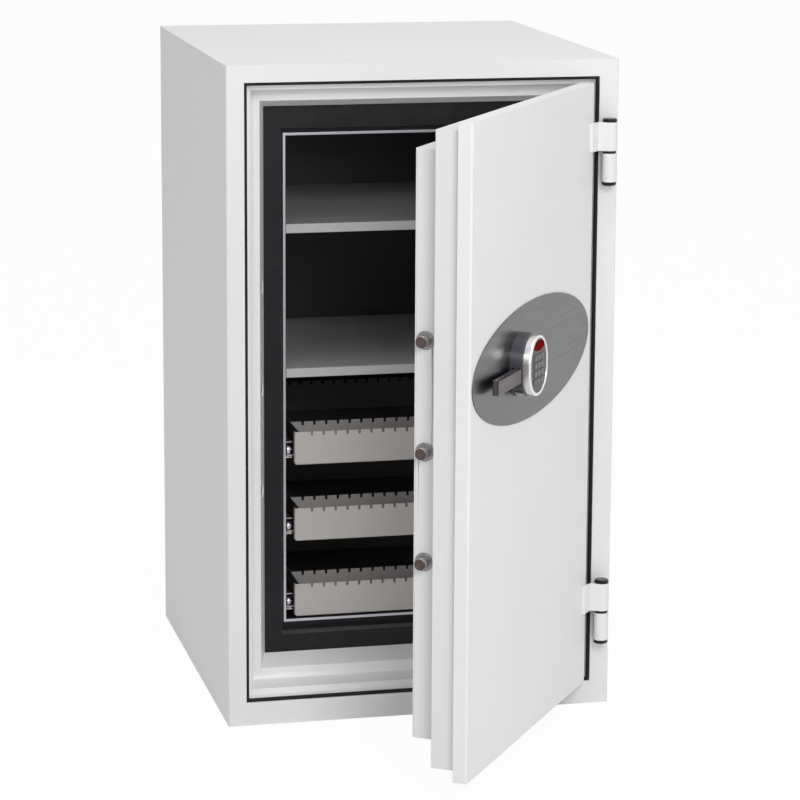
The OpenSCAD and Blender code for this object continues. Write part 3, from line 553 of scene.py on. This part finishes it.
# Sets copies of a small part in upright columns, and along the top and bottom between them
def makeHeadsTree():
    tree, start, end = newGeometryTree("rowsOfHeads", [
        ("Width", "NodeSocketFloat"),
        ("Height", "NodeSocketFloat"),
        ("Count up", "NodeSocketInt"),
        ("Count across", "NodeSocketInt"),
        ("Centre", "NodeSocketVector"),
        ("Turn", "NodeSocketVector"),
        ("Head", "NodeSocketObject"),
        ("Material", "NodeSocketMaterial"),
    ])
    grid = addNode(tree, "GeometryNodeMeshGrid")
    link(tree, start.outputs["Width"], grid.inputs["Size X"])
    link(tree, start.outputs["Height"], grid.inputs["Size Y"])
    link(tree, start.outputs["Count across"], grid.inputs["Vertices X"])
    link(tree, start.outputs["Count up"], grid.inputs["Vertices Y"])
    spot = addNode(tree, "GeometryNodeInputPosition")
    parts = addNode(tree, "ShaderNodeSeparateXYZ")
    link(tree, spot.outputs["Position"], parts.inputs[0])
    inner = mathNode(
        tree, "MULTIPLY",
        nearMiddle(tree, parts.outputs[0], start.outputs["Width"]),
        nearMiddle(tree, parts.outputs[1], start.outputs["Height"]),
    )
    trimmed = addNode(tree, "GeometryNodeDeleteGeometry", domain="POINT")
    link(tree, grid.outputs["Mesh"], trimmed.inputs["Geometry"])
    link(tree, inner, trimmed.inputs["Selection"])
    stand = addNode(tree, "GeometryNodeTransform")
    stand.inputs["Rotation"].default_value = (math.pi / 2, 0.0, 0.0)
    link(tree, trimmed.outputs["Geometry"], stand.inputs["Geometry"])
    head = addNode(tree, "GeometryNodeObjectInfo")
    link(tree, start.outputs["Head"], head.inputs["Object"])
    heads = addNode(tree, "GeometryNodeInstanceOnPoints")
    link(tree, stand.outputs["Geometry"], heads.inputs["Points"])
    link(tree, head.outputs["Geometry"], heads.inputs["Instance"])
    turn = addNode(tree, "GeometryNodeTransform")
    link(tree, heads.outputs["Instances"], turn.inputs["Geometry"])
    link(tree, start.outputs["Turn"], turn.inputs["Rotation"])
    link(tree, start.outputs["Centre"], turn.inputs["Translation"])
    endTree(tree, start, end, turn.outputs["Geometry"])
    return tree


rimTree = makeRimTree()
headsTree = makeHeadsTree()


def profileCurve(name, points):
    data = bpy.data.curves.new(name, "CURVE")
    data.dimensions = "2D"
    line = data.splines.new("POLY")
    line.points.add(len(points) - 1)
    for point, (outward, backward) in zip(line.points, points):
        point.co = (outward, backward, 0.0, 1.0)
    line.use_cyclic_u = True
    item = bpy.data.objects.new(name, data)
    scene.collection.objects.link(item)
    return item


# A rounded corner of a profile, as points on an arc
def arc(centre, radius, first, last, steps):
    for step in range(steps + 1):
        angle = math.radians(first + (last - first) * step / steps)
        yield (centre[0] + radius * math.cos(angle), centre[1] + radius * math.sin(angle))


# Merges corners, turns the faces outward and keeps edges steeper than the given angle crisp
def cleanMesh(mesh, smoothBelow=35.0):
    work = bmesh.new()
    work.from_mesh(mesh)
    bmesh.ops.remove_doubles(work, verts=work.verts, dist=mergeDistance)
    bmesh.ops.recalc_face_normals(work, faces=work.faces)
    for face in work.faces:
        face.smooth = True
    for edge in work.edges:
        edge.smooth = len(edge.link_faces) == 2 and edge.calc_face_angle(0.0) < math.radians(smoothBelow)
    work.to_mesh(mesh)
    work.free()


# Turns the faces of a shape in progress outward and makes it a piece
def workPiece(name, work):
    bmesh.ops.recalc_face_normals(work, faces=work.faces)
    mesh = bpy.data.meshes.new(name)
    work.to_mesh(mesh)
    work.free()
    return addPiece(name, mesh)


# Evenly spaced points on a circle of radius 1
def circlePoints(steps):
    turns = [2 * math.pi * step / steps for step in range(steps)]
    return [(math.cos(turn), math.sin(turn)) for turn in turns]


# Faces between neighbouring rings that have as many corners each
def joinRings(work, rings):
    for first, second in zip(rings, rings[1:]):
        for step in range(len(first)):
            after = (step + 1) % len(first)
            work.faces.new((first[step], first[after], second[after], second[step]))


# The lock's silver bezel

bezel = {
    "rim": 0.0055,
    "outerRound": 0.0034,
    "outerSteps": 10,
    "innerRound": 0.0012,
    "innerSteps": 5,
    "sag": 0.0008,
    "backChamfer": 0.0006,
    "cornerGap": 0.0001,
    "steps": 24,
}


def addBezel():
    low, high = doorBox("lock_bezel")
    deep = high.y - low.y
    width = high.x - low.x
    height = high.z - low.z
    outer = bezel["outerRound"]
    inner = bezel["innerRound"]
    rim = bezel["rim"]
    chamfer = bezel["backChamfer"]
    points = [(0.0, 0.0)]
    points += list(arc((inner, bezel["sag"] + inner - deep), inner, 180, 270, bezel["innerSteps"]))
    points += list(arc((rim - outer, outer - deep), outer, 270, 360, bezel["outerSteps"]))
    points += [(rim, -chamfer), (rim - chamfer, 0.0)]
    section = profileCurve("bezelSection", points)
    innerWidth = width - 2 * rim
    piece = runTree("lockBezelRing", rimTree, {
        "Width": innerWidth,
        "Height": height - 2 * rim,
        "Corner radius": innerWidth / 2 - bezel["cornerGap"],
        "Corner steps": bezel["steps"],
        "Centre": ((low.x + high.x) / 2, high.y, (low.z + high.z) / 2),
        "Profile": section,
        "Material": finishes["bezel_silver"],
    })
    bpy.data.objects.remove(section)
    cleanMesh(piece.data)
    piece.data.transform(onDoor)
    place(piece, "door", "bezel_silver", "lock_bezel")


# The display's domed lens

lens = {
    "rise": 0.0013,
    "around": 64,
    "rings": 10,
}


def addLens():
    low, high = doorBox("display_window")
    centre = (low + high) / 2
    halfWidth = (high.x - low.x) / 2
    halfHeight = (high.z - low.z) / 2
    around = lens["around"]
    work = bmesh.new()
    rings = []
    for ring in range(lens["rings"]):
        lean = math.pi / 2 * ring / lens["rings"]
        share = math.cos(lean)
        front = low.y - lens["rise"] * math.sin(lean)
        rings.append([
            work.verts.new((centre.x + halfWidth * share * x, front, centre.z + halfHeight * share * z))
            for x, z in circlePoints(around)
        ])
    back = [work.verts.new((vertex.co.x, high.y, vertex.co.z)) for vertex in rings[0]]
    rings.insert(0, back)
    joinRings(work, rings)
    crown = work.verts.new((centre.x, low.y - lens["rise"], centre.z))
    for step in range(around):
        work.faces.new((rings[-1][step], rings[-1][(step + 1) % around], crown))
    work.faces.new(back)
    mesh = bpy.data.meshes.new("displayLens")
    work.to_mesh(mesh)
    work.free()
    cleanMesh(mesh)
    mesh.transform(onDoor)
    place(addPiece("displayLens", mesh, finishes["display_red"]), "door", "display_red", "display_window")


# Plain figures printed on the buttons

figures = {
    "size": 0.0068,
    "thick": 0.00006,
    "curveSteps": 3,
    "marks": ["1", "2", "3", "4", "5", "6", "7", "8", "9", "-", "0", "+"],
}
figureInk = moulded(
    "figureInk", (0.42, 0.42, 0.41), (0.36, 0.36, 0.35), 0.5, grainSize=2000.0, depth=0.00001,
)


def addFigures():
    for index, mark in enumerate(figures["marks"]):
        low, high = doorBox("button_" + str(index + 1))
        data = bpy.data.curves.new("figure" + str(index + 1), "FONT")
        data.body = mark
        data.size = figures["size"]
        data.align_x = "CENTER"
        data.align_y = "CENTER"
        data.extrude = figures["thick"]
        data.resolution_u = figures["curveSteps"]
        holder = bpy.data.objects.new("figureHolder", data)
        scene.collection.objects.link(holder)
        graph = bpy.context.evaluated_depsgraph_get()
        mesh = bpy.data.meshes.new_from_object(holder.evaluated_get(graph))
        bpy.data.objects.remove(holder)
        spot = Vector(((low.x + high.x) / 2, low.y - figures["thick"] / 2, (low.z + high.z) / 2))
        mesh.transform(onDoor @ Matrix.Translation(spot) @ Matrix.Rotation(math.pi / 2, 4, "X"))
        name = "buttonFigure" + str(index + 1)
        place(addPiece(name, mesh, figureInk), "key_" + str(index + 1), "button_grey")


# A low screw head with a cross recess, its axis along -Y and its seat at the origin
def screwHead(name, radius, height):
    work = bmesh.new()
    around = 24
    outline = [
        (radius, 0.0),
        (radius, height * 0.35),
        (radius * 0.86, height * 0.8),
        (radius * 0.6, height),
    ]
    rings = []
    for reach, up in outline:
        rings.append([work.verts.new((reach * x, -up, reach * z)) for x, z in circlePoints(around)])
    joinRings(work, rings)
    work.faces.new(rings[0])
    arm = radius * 0.46
    half = radius * 0.11
    cross = [
        (arm, -half), (arm, half), (half, half), (half, arm), (-half, arm), (-half, half),
        (-arm, half), (-arm, -half), (-half, -half), (-half, -arm), (half, -arm), (half, -half),
    ]
    taper = 0.8
    floorLevel = -height * 0.45
    rim = [work.verts.new((x, -height, z)) for x, z in cross]
    floor = [work.verts.new((x * taper, floorLevel, z * taper)) for x, z in cross]
    joinRings(work, [rim, floor])
    work.faces.new(floor)
    top = rings[-1]
    for step in range(len(cross)):
        after = (step + 1) % len(cross)
        outside = [top[(2 * step + ahead) % around] for ahead in (1, 0, -1)]
        work.faces.new((rim[step], rim[after], *outside))
    return workPiece(name, work)


# Screws that hold the panel on the door's inner side

panelScrews = {
    "inset": 0.022,
    "radius": 0.0048,
    "height": 0.0024,
    "countUp": 5,
    "countAcross": 3,
}


def addPanelScrews():
    low, high = doorBox("door_back_panel")
    head = screwHead("panelScrewHead", panelScrews["radius"], panelScrews["height"])
    piece = runTree("doorPanelScrews", headsTree, {
        "Width": high.x - low.x - 2 * panelScrews["inset"],
        "Height": high.z - low.z - 2 * panelScrews["inset"],
        "Count up": panelScrews["countUp"],
        "Count across": panelScrews["countAcross"],
        "Centre": ((low.x + high.x) / 2, high.y, (low.z + high.z) / 2),
        "Turn": (0.0, 0.0, math.pi),
        "Head": head,
        "Material": finishes["bare_steel"],
    })
    bpy.data.objects.remove(head)
    cleanMesh(piece.data)
    piece.data.transform(onDoor)
    place(piece, "door", "bare_steel")


# A turned part whose axis runs along X. Outline points are [place on the axis, radius].
def turnedPart(name, outline, around=36):
    work = bmesh.new()
    rings = []
    for along, radius in outline:
        rings.append([work.verts.new((along, radius * y, radius * z)) for y, z in circlePoints(around)])
    joinRings(work, rings)
    work.faces.new(rings[0])
    work.faces.new(rings[-1])
    return workPiece(name, work)


# The turned ends of the bolts, each over the bolt's chamfer, with a groove and a centre mark

boltEnds = {
    "count": 3,
    "chamfer": 0.0015,
    "within": 0.0003,
    "proud": 0.0005,
    "deep": 0.0003,
    "grooveShares": [0.70, 0.66, 0.55, 0.51],
    "markShares": [0.20, 0.12],
}
boltEndMetal = metal(
    "boltEnd", (0.125, 0.090, 0.088), (0.085, 0.061, 0.060), 0.35,
    turnZ=-doorTurn, stretch=1.0, depth=0.00001,
)


def addBoltEnds():
    low, high = doorBox("bolts")
    widest = (high.y - low.y) / 2 - boltEnds["within"]
    radius = widest + boltEnds["within"] - boltEnds["chamfer"]
    face = -boltEnds["proud"]
    floor = face + boltEnds["deep"]
    rim = face + widest - radius
    outline = [(rim + boltEnds["within"], widest - boltEnds["within"]), (rim, widest), (face, radius)]
    for along, share in zip((face, floor, floor, face), boltEnds["grooveShares"]):
        outline.append((along, radius * share))
    for along, share in zip((face, floor), boltEnds["markShares"]):
        outline.append((along, radius * share))
    head = turnedPart("boltEnd", outline)
    betweenAxes = high.z - low.z - (high.y - low.y)
    piece = runTree("boltEnds", headsTree, {
        "Width": 0.0,
        "Height": betweenAxes,
        "Count up": boltEnds["count"],
        "Count across": 1,
        "Centre": (low.x, (low.y + high.y) / 2, (low.z + high.z) / 2),
        "Turn": (0.0, 0.0, 0.0),
        "Head": head,
        "Material": boltEndMetal,
    })
    bpy.data.objects.remove(head)
    cleanMesh(piece.data)
    piece.data.transform(onDoor)
    place(piece, "bolt_work", "bolt_chrome")


# Rollers at the front of the drawers' channels

roller = {
    "countUp": 3,
    "countAcross": 2,
    "radius": 0.0090,
    "width": 0.0065,
    "round": 0.0012,
    "axle": 0.0026,
    "axleOut": 0.0020,
    "hubShares": [1.5, 1.7],
    "recess": 0.0006,
    "recessShares": [0.72, 0.78],
    "fromWall": 0.0066,
    "fromFront": 0.0105,
    "belowMiddle": 0.0020,
    "channelHeight": 0.030,
}


def addRollers():
    low, high = cornersOf([vertex.co for vertex in nodeObjects["drawer_channels"].data.vertices])
    half = roller["width"] / 2
    radius = roller["radius"]
    edge = roller["round"]
    cut = edge * 0.3  # what the rounding takes off at its middle
    axle = roller["axle"]
    hubTop, hubFoot = roller["hubShares"]
    recessFoot, recessTop = roller["recessShares"]
    side = [
        (half + roller["axleOut"], axle),
        (half, axle),
        (half, axle * hubTop),
        (half - roller["recess"], axle * hubFoot),
        (half - roller["recess"], radius * recessFoot),
        (half, radius * recessTop),
        (half, radius - edge),
        (half - cut, radius - cut),
        (half - edge, radius),
    ]
    head = turnedPart("roller", [(-along, reach) for along, reach in side] + side[::-1])
    middle = (low + high) / 2
    piece = runTree("channelRollers", headsTree, {
        "Width": high.x - low.x - 2 * roller["fromWall"],
        "Height": high.z - low.z - roller["channelHeight"],
        "Count up": roller["countUp"],
        "Count across": roller["countAcross"],
        "Centre": (middle.x, low.y + roller["fromFront"], middle.z - roller["belowMiddle"]),
        "Turn": (0.0, 0.0, 0.0),
        "Head": head,
        "Material": finishes["bare_steel"],
    })
    bpy.data.objects.remove(head)
    cleanMesh(piece.data)
    place(piece, "cabinet", "bare_steel")


addBezel()
addLens()
addFigures()
addPanelScrews()
addBoltEnds()
addRollers()
print("stage: lock, screws, bolts and channels dressed")


# Camera, floor and light

camera = {
    "place": (-1.268, -5.644, 1.746),
    "yaw": 13.63,
    "pitch": 11.23,
    "roll": -0.42,
    "focalPixels": 3147.0,
    "picturePixels": 800,
    "sensorWidth": 36.0,
    "shiftX": -0.0375,
    "shiftY": -0.0625,
    "farthest": 60.0,
}


def addCamera():
    yaw = math.radians(camera["yaw"])
    pitch = math.radians(camera["pitch"])
    roll = math.radians(camera["roll"])
    ahead = Vector((math.sin(yaw) * math.cos(pitch), math.cos(yaw) * math.cos(pitch), -math.sin(pitch)))
    right = Vector((math.cos(yaw), -math.sin(yaw), 0.0))
    down = ahead.cross(right)
    across = right * math.cos(roll) + down * math.sin(roll)
    below = down * math.cos(roll) - right * math.sin(roll)
    data = bpy.data.cameras.new("photoCamera")
    data.sensor_fit = "HORIZONTAL"
    data.sensor_width = camera["sensorWidth"]
    data.lens = camera["focalPixels"] / camera["picturePixels"] * camera["sensorWidth"]
    data.shift_x = camera["shiftX"]
    data.shift_y = camera["shiftY"]
    data.clip_end = camera["farthest"]
    item = bpy.data.objects.new("photoCamera", data)
    scene.collection.objects.link(item)
    turn = Matrix((across, -below, -ahead)).transposed()
    item.matrix_world = Matrix.Translation(camera["place"]) @ turn.to_4x4()
    scene.camera = item


room = {
    "floorSize": 30.0,
    "floorTone": 0.90,
    "floorGlow": 0.96,
    "worldStrength": 0.43,
    "skyGlow": 0.98,
    # Name, place, point aimed at, size and power
    "lamps": [
        ("keyLamp", (0.0, -4.0, 2.4), (0.0, -0.3, 0.7), 1.4, 65.0),
        ("fillLamp", (-3.6, -4.6, 2.0), (0.0, -0.3, 0.6), 2.4, 18.0),
        ("sideLamp", (4.0, -3.0, 2.2), (0.1, -0.5, 0.6), 2.4, 17.0),
        ("topLamp", (0.3, -0.6, 4.6), (0.0, -0.1, 0.6), 3.0, 50.0),
    ],
}


# 1 where the camera sees a surface, straight, in a reflection or through glass
def seenByCamera(tree):
    rays = addNode(tree, "ShaderNodeLightPath")
    seen = mathNode(tree, "MAXIMUM", rays.outputs["Is Camera Ray"], rays.outputs["Is Glossy Ray"])
    return mathNode(tree, "MAXIMUM", seen, rays.outputs["Is Transmission Ray"])


def addFloor():
    half = room["floorSize"] / 2
    corners = [(-half, -half, 0), (half, -half, 0), (half, half, 0), (-half, half, 0)]
    mesh = bpy.data.meshes.new("studioFloor")
    mesh.from_pydata(corners, [], [(0, 1, 2, 3)])
    material = bpy.data.materials.new("studioFloor")
    material.use_nodes = True
    tree = material.node_tree
    surface = tree.nodes["Principled BSDF"]
    surface.inputs["Base Color"].default_value = (room["floorTone"],) * 3 + (1.0,)
    surface.inputs["Roughness"].default_value = 0.9
    surface.inputs["Specular IOR Level"].default_value = 0.0
    glow = addNode(tree, "ShaderNodeEmission")
    glow.inputs["Strength"].default_value = 1.0
    share = mathNode(tree, "MULTIPLY", seenByCamera(tree), room["floorGlow"])
    mixer = addNode(tree, "ShaderNodeMixShader")
    link(tree, share, mixer.inputs[0])
    link(tree, surface.outputs[0], mixer.inputs[1])
    link(tree, glow.outputs[0], mixer.inputs[2])
    link(tree, mixer.outputs[0], tree.nodes["Material Output"].inputs["Surface"])
    floor = addPiece("studioFloor", mesh, material)


def addWorld():
    world = bpy.data.worlds.new("studio")
    scene.world = world
    world.use_nodes = True
    tree = world.node_tree
    extra = mathNode(tree, "MULTIPLY", seenByCamera(tree), room["skyGlow"] - room["worldStrength"])
    strength = mathNode(tree, "ADD", extra, room["worldStrength"])
    background = tree.nodes["Background"]
    background.inputs["Color"].default_value = (1.0, 1.0, 1.0, 1.0)
    link(tree, strength, background.inputs["Strength"])


def addLamps():
    for name, spot, aim, size, power in room["lamps"]:
        data = bpy.data.lights.new(name, "AREA")
        data.shape = "SQUARE"
        data.size = size
        data.energy = power
        lamp = bpy.data.objects.new(name, data)
        scene.collection.objects.link(lamp)
        lamp.location = spot
        lamp.rotation_euler = (Vector(aim) - Vector(spot)).to_track_quat("-Z", "Y").to_euler()


addCamera()
addFloor()
addWorld()
addLamps()
scene.view_settings.view_transform = "Standard"
print("stage: camera, floor and lamps set")
